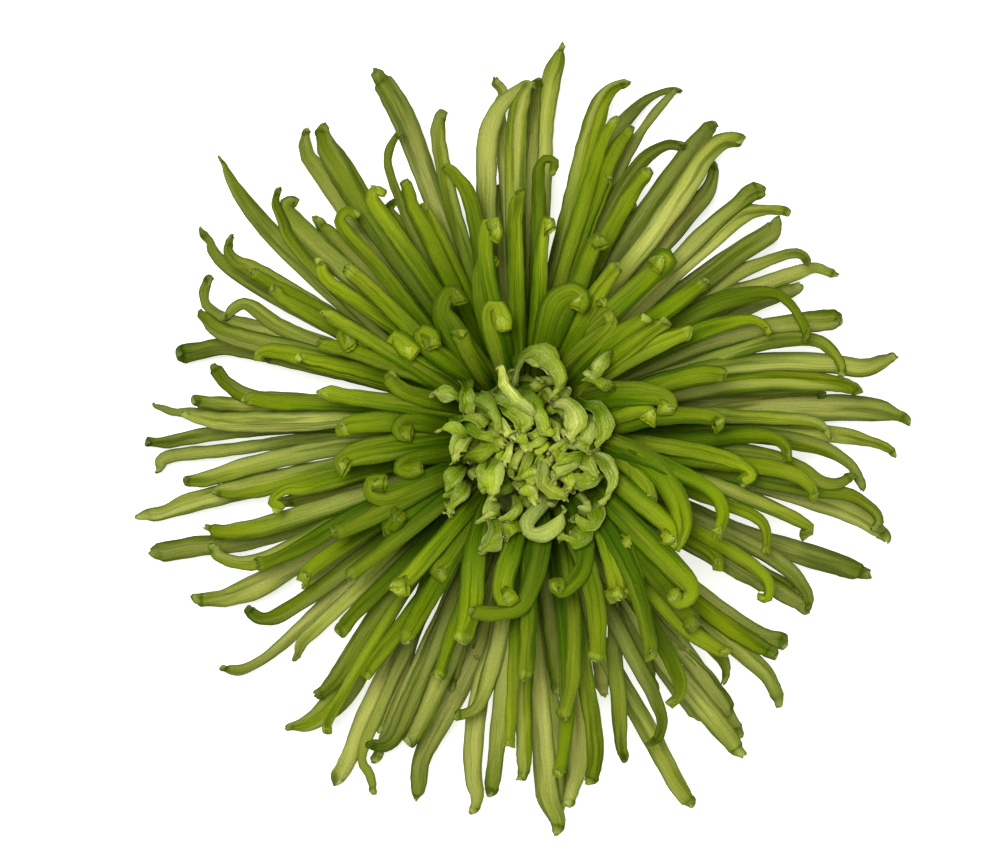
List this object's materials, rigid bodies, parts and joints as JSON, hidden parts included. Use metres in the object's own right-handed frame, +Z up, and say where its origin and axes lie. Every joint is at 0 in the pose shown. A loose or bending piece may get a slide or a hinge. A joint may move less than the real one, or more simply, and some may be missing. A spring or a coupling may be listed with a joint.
{
  "type": "spider chrysanthemum flower",
  "caption": "Cut green spider chrysanthemum head lying face up: long narrow florets with curled tips round a pale crown, over a bract cup and a short stub of stem.",
  "frame": {"origin": "on the surface the flower lies on, under the middle of its bounding box", "axes": "+Z up out of the face of the flower, along its stem; +Y towards the top of the flower as seen from above"},
  "size_m": [0.129, 0.1332, 0.0404],
  "materials": {
    "stem_green": "satin",
    "bract_green": "matte",
    "floret_green": "satin",
    "crown_green": "satin"
  },
  "bodies": {
    "root": {"stem": "stem_green", "involucre": "bract_green", "ray_florets": "floret_green", "centre_florets": "crown_green"}
  },
  "joints": []
}
